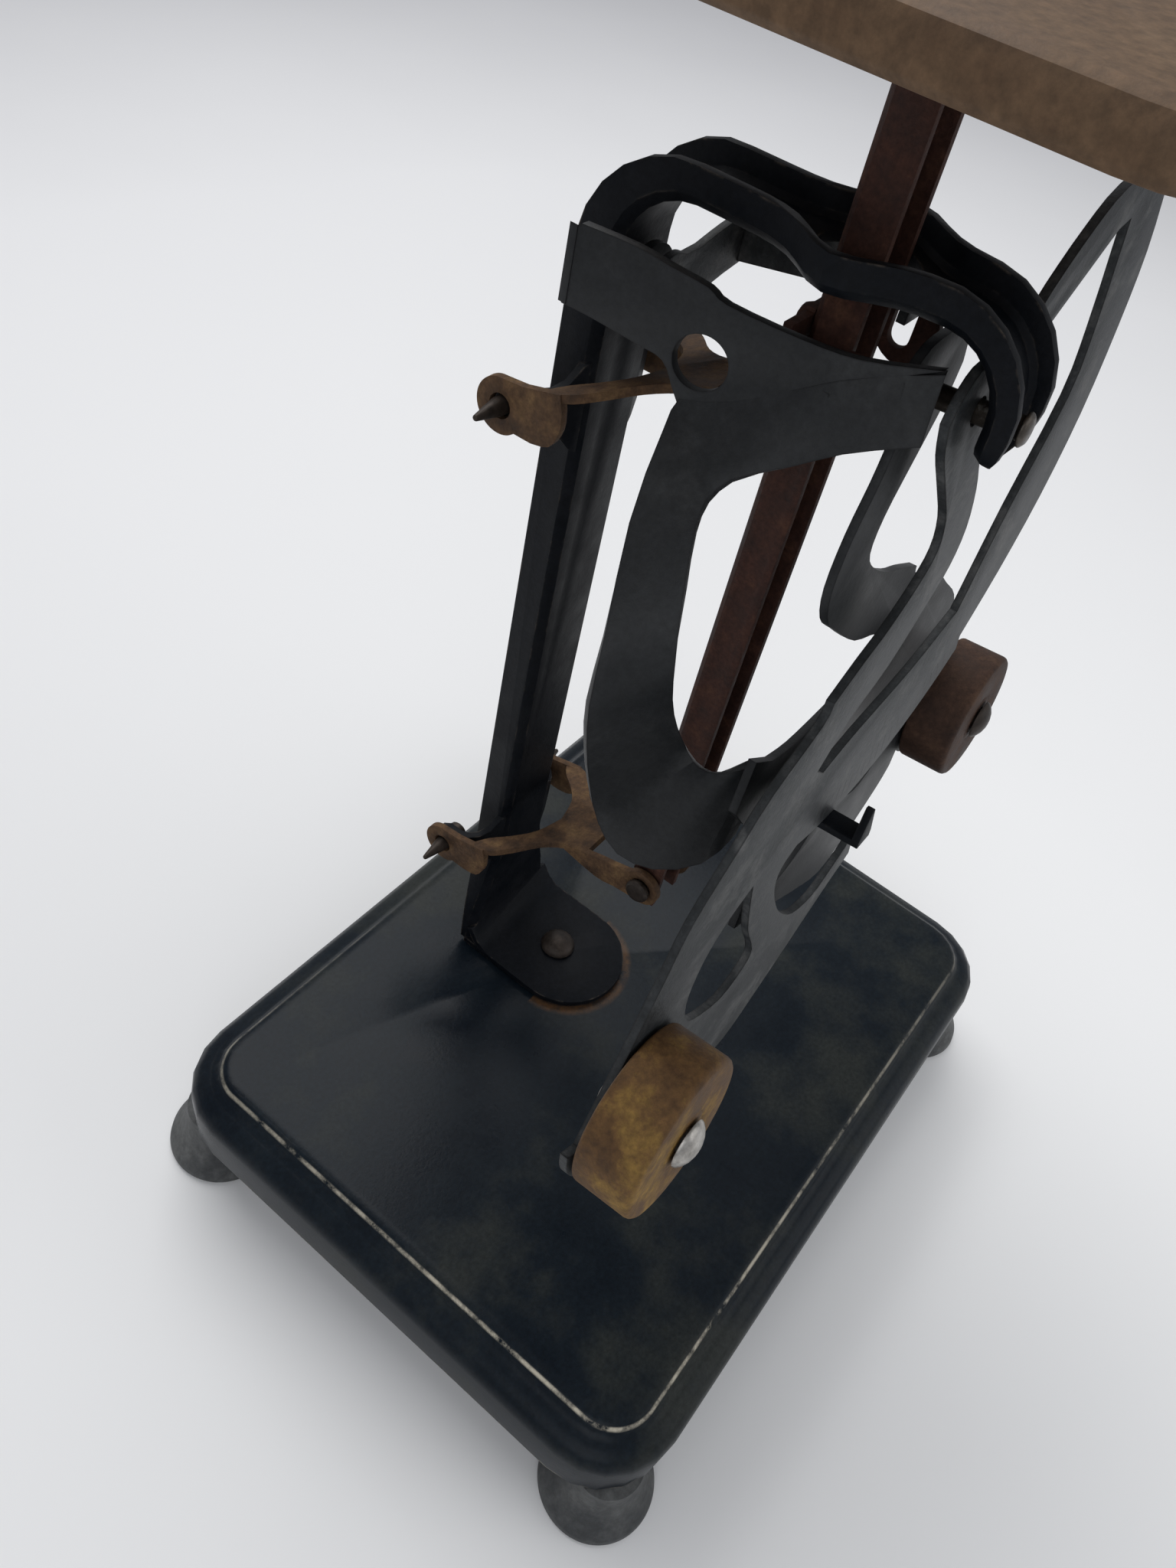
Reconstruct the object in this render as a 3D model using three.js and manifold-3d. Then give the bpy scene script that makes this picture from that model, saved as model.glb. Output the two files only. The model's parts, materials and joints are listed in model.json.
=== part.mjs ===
// Two-pendulum letter balance: a sheet-steel stand carries two crossed pendulum plates, and a rod with a
// letter tray hangs on them. Millimetres, +Z up, front towards -Y, origin on the floor under the middle of the base.
import * as THREE from "three";
import { mergeVertices } from "three/addons/utils/BufferGeometryUtils.js";
import Module from "manifold-3d";

const wasm = await Module();
wasm.setup();

// Base
const BASE_LENGTH = 120;
const BASE_DEPTH = 91.5;
const BASE_CORNER = 12;
const SKIRT_BOTTOM = 12;
const SKIRT_TOP = 20;
const BORDER_TOP = 23;
const PANEL_TOP = 25;
const BASE_WALL = 1;
const FOOT_X = 53;
const FOOT_Y = 40;

// Column and hoop, one channel pressed from sheet
const CHANNEL_HALF = 5.6;
const HOOP_HALF = 4.8;
const CHANNEL_WALL = 1.1;
const FLANGE = 5;
const HOOP_FLANGE = 3.8;
const COLUMN_FRONT = 26.5;
const HOOP_UNDERSIDE = 151.8;
const REAR_BEND = 7;
const FRONT_BEND = 6.6;
const EAR_BACK = -14.4;
const ROD_RING_SWELL = 4.6;
const ROD_RING_SPREAD = 4.8;
const ROD_RING_HOLE = 5.2;
const ROD_RING_Y = 2.8;

// Carrier rod and tray
const ROD_HALF = 3.2;
const ROD_DEPTH = 5;
const ROD_WALL = 0.9;
const ROD_BOTTOM = 56;
const TRAY_UNDERSIDE = 179;
const TRAY_HALF_X = 43;
const TRAY_HALF_Y = 36;
const TRAY_RIM = 3.4;

// Parallel links
const LINK_REAR_Y = 33;
const LINK_FRONT_Y = 2.2;
const LOWER_REAR_Z = 49.6;
const UPPER_REAR_Z = 126.8;
const LINK_RISE = 10.2;
const LINK_SHEET = 1;
const NEAR_EYE_DROP = 3.6;
const LINK_EAR_X = 12;
const LINK_LEAF_X = 4.1;
const STAND_EAR_X = 10.5;

// Pendulums, drawn in a frame that leans with the pivot pin
const PIVOT_Y = -12.6;
const PIVOT_Z = 144.6;
const LEAN = THREE.MathUtils.degToRad(5.71);
const PLATE = 1;
const SECOND_PLATE = 5;
const PIN_RADIUS = 1.2;
const WEIGHT_RADIUS = 10;
const WEIGHT_THICKNESS = 7.7;
const WEIGHT_X = 44;
const WEIGHT_DOWN = 65;
const GAP = 0.3;

const STEEL = "#4a4d50";
const ENAMEL = "#15181c";
const RUST = "#5a3327";
const OCHRE = "#8a6a3c";

const root = new THREE.Group();
root.name = "letter_balance";

const lean = new THREE.Matrix4()
  .makeTranslation(0, PIVOT_Y, PIVOT_Z)
  .multiply(new THREE.Matrix4().makeRotationX(-LEAN));

function add(name, manifold, color, metalness = 0.6, roughness = 0.6) {
  const data = manifold.getMesh();
  const geometry = new THREE.BufferGeometry();
  geometry.setAttribute("position", new THREE.BufferAttribute(new Float32Array(data.vertProperties), 3));
  geometry.setIndex(new THREE.BufferAttribute(new Uint32Array(data.triVerts), 1));
  geometry.computeVertexNormals();
  const material = new THREE.MeshStandardMaterial({ color, metalness, roughness });
  const mesh = new THREE.Mesh(geometry, material);
  mesh.name = name;
  root.add(mesh);
}

// A closed geometry as a solid that can be joined and cut.
function solid(geometry) {
  const plain = geometry.index ? geometry.toNonIndexed() : geometry;
  const bare = new THREE.BufferGeometry();
  bare.setAttribute("position", plain.getAttribute("position"));
  const merged = mergeVertices(bare, 1e-4);
  const kept = [];
  const all = merged.index.array;
  for (let i = 0; i < all.length; i += 3) {
    const [a, b, c] = [all[i], all[i + 1], all[i + 2]];
    if (a !== b && b !== c && c !== a) kept.push(a, b, c);
  }
  return new wasm.Manifold(
    new wasm.Mesh({
      numProp: 3,
      vertProperties: new Float32Array(merged.attributes.position.array),
      triVerts: new Uint32Array(kept),
    }),
  );
}

function moved(geometry, x, y, z) {
  geometry.translate(x, y, z);
  return solid(geometry);
}

function box(x0, x1, y0, y1, z0, z1) {
  const geometry = new THREE.BoxGeometry(x1 - x0, y1 - y0, z1 - z0);
  return moved(geometry, (x0 + x1) / 2, (y0 + y1) / 2, (z0 + z1) / 2);
}

// A turned piece standing on Z, from [radius, height] pairs running up the outside.
function turned(pairs, segments = 20) {
  const profile = pairs.map(([r, z]) => new THREE.Vector2(r, z));
  const geometry = new THREE.LatheGeometry(profile, segments);
  geometry.rotateX(Math.PI / 2);
  return geometry;
}

function along(geometry, axis) {
  if (axis === "x") geometry.rotateY(Math.PI / 2);
  if (axis === "y") geometry.rotateX(-Math.PI / 2);
  return geometry;
}

function cylinder(radius, length, axis, x, y, z, segments = 20) {
  const pairs = [[0, -length / 2], [radius, -length / 2], [radius, length / 2], [0, length / 2]];
  return moved(along(turned(pairs, segments), axis), x, y, z);
}

// Points of an outline built from smooth runs that meet at corners.
function outline(runs, steps = 3) {
  const points = [];
  runs.forEach((run) => {
    const knots = run.map(([x, y]) => new THREE.Vector2(x, y));
    const dense = knots.length > 2
      ? new THREE.SplineCurve(knots).getPoints((knots.length - 1) * steps)
      : knots;
    dense.forEach((p) => {
      const last = points[points.length - 1];
      if (!last || last.distanceTo(p) > 0.05) points.push(p);
    });
  });
  if (points[0].distanceTo(points[points.length - 1]) < 0.05) points.pop();
  return points;
}

function arcRun(radius, from, to, steps, cx = 0, cy = 0) {
  const run = [];
  for (let i = 0; i <= steps; i += 1) {
    const a = THREE.MathUtils.degToRad(from + ((to - from) * i) / steps);
    run.push([cx + radius * Math.cos(a), cy + radius * Math.sin(a)]);
  }
  return run;
}

function mirrored(runs) {
  return runs.map((run) => run.map(([x, y]) => [-x, y]));
}

// A filled outline with its holes wound the other way.
function region(runs, holes) {
  const wound = (points, clockwise) =>
    (THREE.ShapeUtils.isClockWise(points) === clockwise ? points : points.reverse());
  const shape = new THREE.Shape(wound(outline(runs), false));
  holes.forEach((hole) => shape.holes.push(new THREE.Path(wound(outline(hole), true))));
  return shape;
}

// A flat plate drawn as seen from the front, with its front face at depth `front`.
function plate(runs, holes, front, thickness) {
  const shape = region(runs, holes);
  const geometry = new THREE.ExtrudeGeometry(shape, { depth: thickness, bevelEnabled: false });
  geometry.rotateX(Math.PI / 2);
  geometry.translate(0, front + thickness, 0);
  return geometry;
}

function leaning(geometry) {
  return solid(geometry.applyMatrix4(lean));
}

// Rings of equal point counts joined into one skin, with flat ends.
function loft(rings) {
  const count = rings[0].length;
  const positions = rings.flat().flatMap((p) => [p.x, p.y, p.z]);
  const index = [];
  for (let r = 0; r < rings.length - 1; r += 1) {
    for (let i = 0; i < count; i += 1) {
      const j = (i + 1) % count;
      const a = r * count + i;
      const b = r * count + j;
      index.push(a, b, b + count, a, b + count, a + count);
    }
  }
  return { positions, index, count };
}

function closedLoft(rings, flatten) {
  const { positions, index, count } = loft(rings);
  const faces = THREE.ShapeUtils.triangulateShape(rings[0].map(flatten), []);
  const last = (rings.length - 1) * count;
  faces.forEach(([a, b, c]) => {
    index.push(a, c, b);
    index.push(last + a, last + b, last + c);
  });
  const geometry = new THREE.BufferGeometry();
  geometry.setAttribute("position", new THREE.Float32BufferAttribute(positions, 3));
  geometry.setIndex(index);
  let made = solid(geometry);
  if (made.volume() < 0) {
    for (let i = 0; i < index.length; i += 3) [index[i], index[i + 1]] = [index[i + 1], index[i]];
    geometry.setIndex(index);
    made = solid(geometry);
  }
  return made;
}

// A bent sheet: rows of middle-surface points given half a thickness on both sides.
function sheet(rows, thickness) {
  const n = rows.length;
  const m = rows[0].length;
  const grid = rows.map((row) => row.map(([x, y, z]) => new THREE.Vector3(x, y, z)));
  const positions = [];
  const side = (sign) => {
    for (let i = 0; i < n; i += 1) {
      for (let j = 0; j < m; j += 1) {
        const down = grid[Math.min(i + 1, n - 1)][j].clone().sub(grid[Math.max(i - 1, 0)][j]);
        const across = grid[i][Math.min(j + 1, m - 1)].clone().sub(grid[i][Math.max(j - 1, 0)]);
        const normal = down.cross(across).normalize().multiplyScalar((sign * thickness) / 2);
        const p = grid[i][j].clone().add(normal);
        positions.push(p.x, p.y, p.z);
      }
    }
  };
  side(1);
  side(-1);
  const index = [];
  const quad = (a, b, c, d) => index.push(a, b, c, a, c, d);
  const under = n * m;
  for (let i = 0; i < n - 1; i += 1) {
    for (let j = 0; j < m - 1; j += 1) {
      const a = i * m + j;
      quad(a, a + m, a + m + 1, a + 1);
      quad(under + a, under + a + 1, under + a + m + 1, under + a + m);
    }
  }
  const wall = (a, b) => quad(a, b, b + under, a + under);
  for (let j = 0; j < m - 1; j += 1) {
    wall(j, j + 1);
    wall((n - 1) * m + j + 1, (n - 1) * m + j);
  }
  for (let i = 0; i < n - 1; i += 1) {
    wall((i + 1) * m, i * m);
    wall(i * m + m - 1, (i + 1) * m + m - 1);
  }
  const geometry = new THREE.BufferGeometry();
  geometry.setAttribute("position", new THREE.Float32BufferAttribute(positions, 3));
  geometry.setIndex(index);
  return solid(geometry);
}

// One round of a rectangle with rounded corners, at one height.
function roundRing(halfX, halfY, radius, z, cy = 0, perCorner = 6) {
  const ring = [];
  const corners = [[1, 1, 0], [-1, 1, 90], [-1, -1, 180], [1, -1, 270]];
  corners.forEach(([sx, sy, start]) => {
    for (let i = 0; i < perCorner; i += 1) {
      const a = THREE.MathUtils.degToRad(start + (90 * i) / (perCorner - 1));
      const x = sx * (halfX - radius) + radius * Math.cos(a);
      const y = cy + sy * (halfY - radius) + radius * Math.sin(a);
      ring.push(new THREE.Vector3(x, y, z));
    }
  });
  return ring;
}

function stacked(levels, halfX, halfY, corner, cy = 0) {
  const rings = levels.map(([inset, z]) =>
    roundRing(halfX - inset, halfY - inset, Math.max(corner - inset, 1.5), z, cy));
  return closedLoft(rings, (p) => new THREE.Vector2(p.x, p.y));
}

function union(...parts) {
  return wasm.Manifold.union(parts);
}

// ---- Base shell ----
const shellOutside = [
  [0.6, SKIRT_BOTTOM], [0, SKIRT_BOTTOM + 0.8], [0, SKIRT_TOP], [0.4, 21.4], [1.5, 22.5], [3, BORDER_TOP],
  [3.7, 23.2], [4.3, 23.8], [4.9, 24.6], [5.6, 24.95], [6.6, PANEL_TOP],
];
const shellInside = [
  [BASE_WALL, SKIRT_BOTTOM - 1], [BASE_WALL, SKIRT_TOP], [1.5, 21], [3, 22], [4.6, 22.3], [5.6, 23.5], [6.8, 24],
];
const shell = stacked(shellOutside, BASE_LENGTH / 2, BASE_DEPTH / 2, BASE_CORNER)
  .subtract(stacked(shellInside, BASE_LENGTH / 2, BASE_DEPTH / 2, BASE_CORNER))
  .subtract(cylinder(1.6, 6, "z", 0, 15, 24));
add("base_shell", shell, ENAMEL, 0.5, 0.35);

const footProfile = [
  [0, 0], [8.3, 0], [8.8, 0.7], [8.6, 1.8], [7.2, 4], [6, 6.6], [5.3, 9.4], [5.3, SKIRT_BOTTOM - GAP],
  [2.3, SKIRT_BOTTOM - GAP], [2.3, 20.4], [0, 20.4],
];
const feet = { front_left: [-1, -1], front_right: [1, -1], rear_left: [-1, 1], rear_right: [1, 1] };
Object.entries(feet).forEach(([place, [sx, sy]]) => {
  add("foot_" + place, moved(turned(footProfile, 28), sx * FOOT_X, sy * FOOT_Y, 0), "#26282b", 0.5, 0.6);
});

// ---- Column, hoop and foot tongue ----
function channelRing(origin, outward, half, flange) {
  const t = CHANNEL_WALL;
  const r = 1.1;
  const q = 0.6;
  const profile = [
    [r - half, 0], [half - r, 0], [half, r], [half, flange], [half - t, flange], [half - t, t + q],
    [half - t - q, t], [t + q - half, t], [t - half, t + q], [t - half, flange], [-half, flange], [-half, r],
  ];
  return profile.map(([x, n]) =>
    new THREE.Vector3(x, origin[0] + outward[0] * n, origin[1] + outward[1] * n));
}

function bulge(y) {
  return HOOP_HALF + ROD_RING_SWELL * Math.exp(-(((y - ROD_RING_Y) / ROD_RING_SPREAD) ** 2));
}

const channel = [];
const footFlare = [[26.3, 10, 2], [30, 9.6, 2.4], [34, 8.8, 3], [39, 7.4, 3.8], [45, 6.1, 4.6], [52, CHANNEL_HALF, FLANGE]];
footFlare.forEach(([z, half, flange]) => {
  channel.push(channelRing([COLUMN_FRONT, z], [1, 0], half, flange));
});
channel.push(channelRing([COLUMN_FRONT, 138], [1, 0], CHANNEL_HALF, FLANGE));
for (let i = 0; i <= 6; i += 1) {
  const a = (Math.PI / 2) * (i / 6);
  const y = COLUMN_FRONT - REAR_BEND + REAR_BEND * Math.cos(a);
  const z = HOOP_UNDERSIDE - REAR_BEND + REAR_BEND * Math.sin(a);
  const half = CHANNEL_HALF + (HOOP_HALF - CHANNEL_HALF) * (i / 6);
  channel.push(channelRing([y, z], [Math.cos(a), Math.sin(a)], half, FLANGE + (HOOP_FLANGE - FLANGE) * (i / 6)));
}
const hoopStations = [15, 12.5, 10.5, 8.6, 6.8, 4.8, ROD_RING_Y, 0.8, -1.2, -3, -4.9, -7];
hoopStations.forEach((y) => {
  channel.push(channelRing([y, HOOP_UNDERSIDE], [0, 1], bulge(y), HOOP_FLANGE));
});
for (let i = 0; i <= 6; i += 1) {
  const a = Math.PI / 2 + (Math.PI / 2) * (i / 6);
  const y = EAR_BACK + FRONT_BEND + FRONT_BEND * Math.cos(a);
  const z = HOOP_UNDERSIDE - FRONT_BEND + FRONT_BEND * Math.sin(a);
  channel.push(channelRing([y, z], [Math.cos(a), Math.sin(a)], HOOP_HALF - 0.2 * (i / 6), HOOP_FLANGE - 0.9 * (i / 6)));
}
[[144.2, 4.5, 2.8], [142.9, 4.2, 2.6], [141.9, 3.4, 2.2], [141.2, 2.2, 1.8]].forEach(([z, half, flange]) => {
  channel.push(channelRing([EAR_BACK, z], [-1, 0], half, flange));
});
// The first ring lies level, so its x and y give the end's outline.
const channelSolid = closedLoft(channel, (p) => new THREE.Vector2(p.x, p.y));

const tongueRuns = [
  [[10, COLUMN_FRONT + 1.2], [10, 13]],
  arcRun(10, 0, -180, 14, 0, 13),
  [[-10, 13], [-10, COLUMN_FRONT + 1.2]],
];
const tongueShape = new THREE.Shape(outline(tongueRuns));
const tongue = moved(new THREE.ExtrudeGeometry(tongueShape, { depth: 1.1, bevelEnabled: false }), 0, 0, 25.3);
const heel = sheet(
  [-1, 1].map((s) => [[s * 9.9, COLUMN_FRONT + 0.5, 29.5], [s * 9.9, 25.4, 27.2], [s * 9.9, 23.2, 25.9]]),
  CHANNEL_WALL,
);

// A flange swept outward to carry a link, on the side `s`, with its pivot at height `z`.
function standEar(s, z) {
  const path = [
    [5, 27.4, 5.6], [5.9, 27.7, 5.2], [7.3, 28.2, 3.4], [8.8, 29, 2.6], [10, 30.1, 2.4],
    [STAND_EAR_X, 31.3, 2.4], [STAND_EAR_X, 33.6, 2.3], [STAND_EAR_X, 35, 1.2],
  ];
  const rows = path.map(([x, y, up]) => [[s * x, y, z + up], [s * x, y, z + up * 0.2], [s * x, y, z - up]]);
  return sheet(rows, CHANNEL_WALL);
}

const pivotHole = leaning(along(turned([[0, -7], [1.5, -7], [1.5, 14], [0, 14]], 20), "y"));
const rearAxisZ = PIVOT_Z - (COLUMN_FRONT - PIVOT_Y) * Math.tan(LEAN);
const rearHole = leaning(along(turned([[0, 30], [1.5, 30], [1.5, 44], [0, 44]], 20), "y"));
let column = union(
  channelSolid, tongue, heel,
  standEar(1, UPPER_REAR_Z), standEar(-1, UPPER_REAR_Z), standEar(1, LOWER_REAR_Z), standEar(-1, LOWER_REAR_Z),
);
column = column
  .subtract(cylinder(ROD_RING_HOLE, 4, "z", 0, ROD_RING_Y, HOOP_UNDERSIDE + 0.5, 28))
  .subtract(cylinder(1.6, 6, "z", 0, 15, 26))
  .subtract(pivotHole)
  .subtract(rearHole);
[UPPER_REAR_Z, LOWER_REAR_Z].forEach((z) => {
  column = column.subtract(cylinder(1.4, 6, "x", STAND_EAR_X, LINK_REAR_Y, z, 16));
  column = column.subtract(cylinder(1.4, 6, "x", -STAND_EAR_X, LINK_REAR_Y, z, 16));
});
add("column_frame", column, ENAMEL, 0.5, 0.4);

const rivetProfile = [[0, 22.5], [2.6, 22.5], [2.6, 23.7], [1.3, 23.7], [1.3, 26.7], [3, 26.7], [2.6, 27.5], [1.5, 28.1], [0, 28.3]];
add("column_rivet", moved(turned(rivetProfile, 18), 0, 15, 0), "#34302c", 0.6, 0.6);

// ---- Pins of the stand ----
const frontPin = [[0, -5.2], [1.3, -5.1], [1.7, -4.8], [1.7, -4.5], [PIN_RADIUS, -4.5], [PIN_RADIUS, 8.2], [0.8, 8.6], [0, 8.6]];
const rearPin = [[0, 33.2], [0.8, 33.2], [PIN_RADIUS, 33.6], [PIN_RADIUS, 41], [2.1, 41], [2.1, 42], [0, 42.4]];
add("front_pivot_pin", leaning(along(turned(frontPin, 18), "y")), "#8d8d8a", 0.8, 0.4);
add("rear_pivot_pin", leaning(along(turned(rearPin, 18), "y")), "#5c5a56", 0.8, 0.5);

const conePin = [[0, 8.4], [1.3, 8.4], [1.6, 8.7], [1.6, 9.6], [1.1, 9.6], [1.1, 12.9], [0.35, 16.6], [0, 16.8]];
const pinPlaces = { upper: UPPER_REAR_Z, lower: LOWER_REAR_Z };
Object.entries(pinPlaces).forEach(([level, z]) => {
  add("cone_pin_" + level + "_right", moved(along(turned(conePin, 16), "x"), 0, LINK_REAR_Y, z), "#3a3632", 0.7, 0.5);
  const left = along(turned(conePin, 16), "x");
  left.rotateZ(Math.PI);
  add("cone_pin_" + level + "_left", moved(left, 0, LINK_REAR_Y, z), "#3a3632", 0.7, 0.5);
});

// ---- Links ----
const LINK_EYE_Y = LINK_REAR_Y - Math.hypot(LINK_RISE, LINK_REAR_Y - LINK_FRONT_Y);
function link(rearZ) {
  const outer = [[4.6, 10.5], [4.6, 14.5], [6.4, 17.8], [9.6, 20.6], [11.8, 23], [12.5, 25.6]];
  const inner = [[11.5, 26.6], [9.6, 25.2], [7.4, 22.6], [4.4, 20], [0, 18.6]];
  const flip = (run) => run.map(([x, y]) => [-x, y]).reverse();
  const webShape = new THREE.Shape(outline([outer, [[12.5, 25.6], [12.5, 26.6], [11.5, 26.6]], inner, flip(inner), [[-11.5, 26.6], [-12.5, 26.6], [-12.5, 25.6]], flip(outer)]));
  const web = moved(new THREE.ExtrudeGeometry(webShape, { depth: LINK_SHEET, bevelEnabled: false }), 0, 0, 1.4);
  const pieces = [web];
  [-1, 1].forEach((s) => {
    const earShape = new THREE.Shape(outline([
      [[24.2, 2.4], [29.2, 2.6]], arcRun(3.3, 108, -118, 14, LINK_REAR_Y, 0), [[29.2, -3.6], [26.6, -3.6], [24.8, -1.6], [24.2, 0.6]],
    ]));
    const ear = new THREE.ExtrudeGeometry(earShape, { depth: LINK_SHEET, bevelEnabled: false });
    ear.rotateX(Math.PI / 2);
    ear.rotateZ(Math.PI / 2);
    ear.translate(s * LINK_EAR_X - LINK_SHEET / 2, 0, 0);
    pieces.push(solid(ear));
    const leafShape = new THREE.Shape(outline([
      [[14.6, 2.4], [8, 2.4], [5.4, 2.3]], arcRun(3, 50, 300, 14, LINK_EYE_Y, 0), [[5.6, -2], [9, -1.6], [14.6, 1.2]],
    ]));
    const leaf = new THREE.ExtrudeGeometry(leafShape, { depth: LINK_SHEET, bevelEnabled: false });
    leaf.rotateX(Math.PI / 2);
    leaf.rotateZ(Math.PI / 2);
    leaf.translate(s * LINK_LEAF_X - LINK_SHEET / 2, 0, 0);
    pieces.push(solid(leaf));
  });
  const tilt = THREE.MathUtils.radToDeg(Math.atan2(LINK_RISE, LINK_REAR_Y - LINK_FRONT_Y));
  let made = union(...pieces)
    .subtract(cylinder(1.5, 40, "x", 0, LINK_REAR_Y, 0, 16))
    .subtract(cylinder(1.75, 14, "x", 0, LINK_EYE_Y, 0, 20));
  made = made.translate([0, -LINK_REAR_Y, 0]).rotate([-tilt, 0, 0]).translate([0, LINK_REAR_Y, rearZ]);
  return made;
}
add("upper_link", link(UPPER_REAR_Z), "#7a5638", 0.3, 0.85);
add("lower_link", link(LOWER_REAR_Z), OCHRE, 0.3, 0.85);

// ---- Carrier: rod, eye yoke, pins and tray ----
const rodShape = new THREE.Shape(outline([[
  [-ROD_HALF, 0]], [[-ROD_HALF, ROD_DEPTH - 0.8]], [[-ROD_HALF + 0.8, ROD_DEPTH]], [[ROD_HALF - 0.8, ROD_DEPTH]],
  [[ROD_HALF, ROD_DEPTH - 0.8]], [[ROD_HALF, 0]], [[ROD_HALF - ROD_WALL, 0]],
  [[ROD_HALF - ROD_WALL, ROD_DEPTH - ROD_WALL]], [[ROD_WALL - ROD_HALF, ROD_DEPTH - ROD_WALL]], [[ROD_WALL - ROD_HALF, 0]],
]));
const rodLength = TRAY_UNDERSIDE - GAP - ROD_BOTTOM;
let rod = moved(new THREE.ExtrudeGeometry(rodShape, { depth: rodLength, bevelEnabled: false }), 0, 0, ROD_BOTTOM);
rod = rod
  .subtract(cylinder(1.3, 12, "x", 0, LINK_FRONT_Y, UPPER_REAR_Z + LINK_RISE, 16))
  .subtract(cylinder(1.3, 12, "x", 0, LINK_FRONT_Y, LOWER_REAR_Z + LINK_RISE, 16))
  .subtract(cylinder(1.1, 8, "y", 0, 5, 145, 14));
rod = union(rod, box(-ROD_HALF, ROD_HALF, 0, ROD_DEPTH, rodLength + ROD_BOTTOM - 1.2, rodLength + ROD_BOTTOM))
  .subtract(cylinder(1.4, 6, "z", 0, 2.2, TRAY_UNDERSIDE, 14));
add("rod", rod, RUST, 0.3, 0.85);

const linkPin = [[0, -5.9], [1.6, -5.9], [1.9, -5.5], [1.9, -4.9], [1, -4.9], [1, 4.9], [1.9, 4.9], [1.9, 5.5], [1.6, 5.9], [0, 5.9]];
Object.entries(pinPlaces).forEach(([level, z]) => {
  add("link_pin_" + level, moved(along(turned(linkPin, 16), "x"), 0, LINK_FRONT_Y, z + LINK_RISE), "#4c3427", 0.5, 0.7);
});

const eyeShape = region([
  [[6.3, 143.4], [3.6, 143.5], [1.4, 143.9]], [[1.4, 143.9], [-0.8, 142.6], [-3.2, 143], [-4.5, 145.4], [-4.4, 148.4], [-2.6, 150.3], [0, 150.2], [1.3, 148.6], [1.8, 147.4]],
  [[1.8, 147.4], [3.6, 147.2], [6.3, 147.2]],
], [[arcRun(1.2, 0, 180, 6, -1, 148.4), arcRun(1.2, 180, 360, 6, -1, 145.2)]]);
const eyes = [-1, 1].map((s) => {
  const down = s < 0 ? -NEAR_EYE_DROP : 0;
  const eye = new THREE.ExtrudeGeometry(eyeShape, { depth: 1, bevelEnabled: false });
  eye.rotateX(Math.PI / 2);
  eye.rotateZ(Math.PI / 2);
  eye.translate(s * 5.6 - 0.5, 0, down);
  return solid(eye);
});
const yokeBack = union(box(-6.1, 1.9, 5.3, 6.3, 143.4 - NEAR_EYE_DROP, 146.8), box(-1.9, 6.1, 5.3, 6.3, 143.4, 147.2));
const yoke = union(...eyes, yokeBack).subtract(cylinder(1.1, 4, "y", 0, 6, 145, 14));
add("eye_yoke", yoke, "#5f3a28", 0.3, 0.85);
const yokeRivet = [[0, 2.6], [1.9, 2.7], [1.9, 3.8], [0.8, 3.8], [0.8, 6.6], [1.9, 6.6], [1.5, 7.4], [0, 7.6]];
add("yoke_rivet", moved(along(turned(yokeRivet, 14), "y"), 0, 0, 145), "#4c3427", 0.5, 0.7);

const trayOutside = [
  [0.5, TRAY_UNDERSIDE - 0.4], [0, TRAY_UNDERSIDE + 0.2], [0, TRAY_UNDERSIDE + TRAY_RIM - 1.2],
  [0.4, TRAY_UNDERSIDE + TRAY_RIM - 0.4], [1.2, TRAY_UNDERSIDE + TRAY_RIM],
];
const trayInside = [[1.1, TRAY_UNDERSIDE - 2], [1.1, TRAY_UNDERSIDE + 1.6], [1.9, TRAY_UNDERSIDE + TRAY_RIM - 1.1]];
const tray = stacked(trayOutside, TRAY_HALF_X, TRAY_HALF_Y, 8, 4.5)
  .subtract(stacked(trayInside, TRAY_HALF_X, TRAY_HALF_Y, 8, 4.5));
const boss = moved(turned([[0, TRAY_UNDERSIDE], [7, TRAY_UNDERSIDE], [7.4, TRAY_UNDERSIDE + 0.5], [7.4, TRAY_UNDERSIDE + 3], [0, TRAY_UNDERSIDE + 3]], 24), 0, 2.2, 0);
add("tray", union(tray, boss).subtract(cylinder(1.4, 12, "z", 0, 2.2, TRAY_UNDERSIDE + 2, 16)), "#8a6f4d", 0.4, 0.6);
const trayTop = TRAY_UNDERSIDE + TRAY_RIM;
const trayRivet = [[0, TRAY_UNDERSIDE - 2.8], [1.6, TRAY_UNDERSIDE - 2.7], [1.6, TRAY_UNDERSIDE - 1.8], [1.1, TRAY_UNDERSIDE - 1.8],
  [1.1, trayTop + GAP], [2.9, trayTop + GAP], [2.4, trayTop + 0.9], [0, trayTop + 1.2]];
add("tray_rivet", moved(turned(trayRivet, 18), 0, 2.2, 0), "#77634a", 0.6, 0.5);

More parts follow.
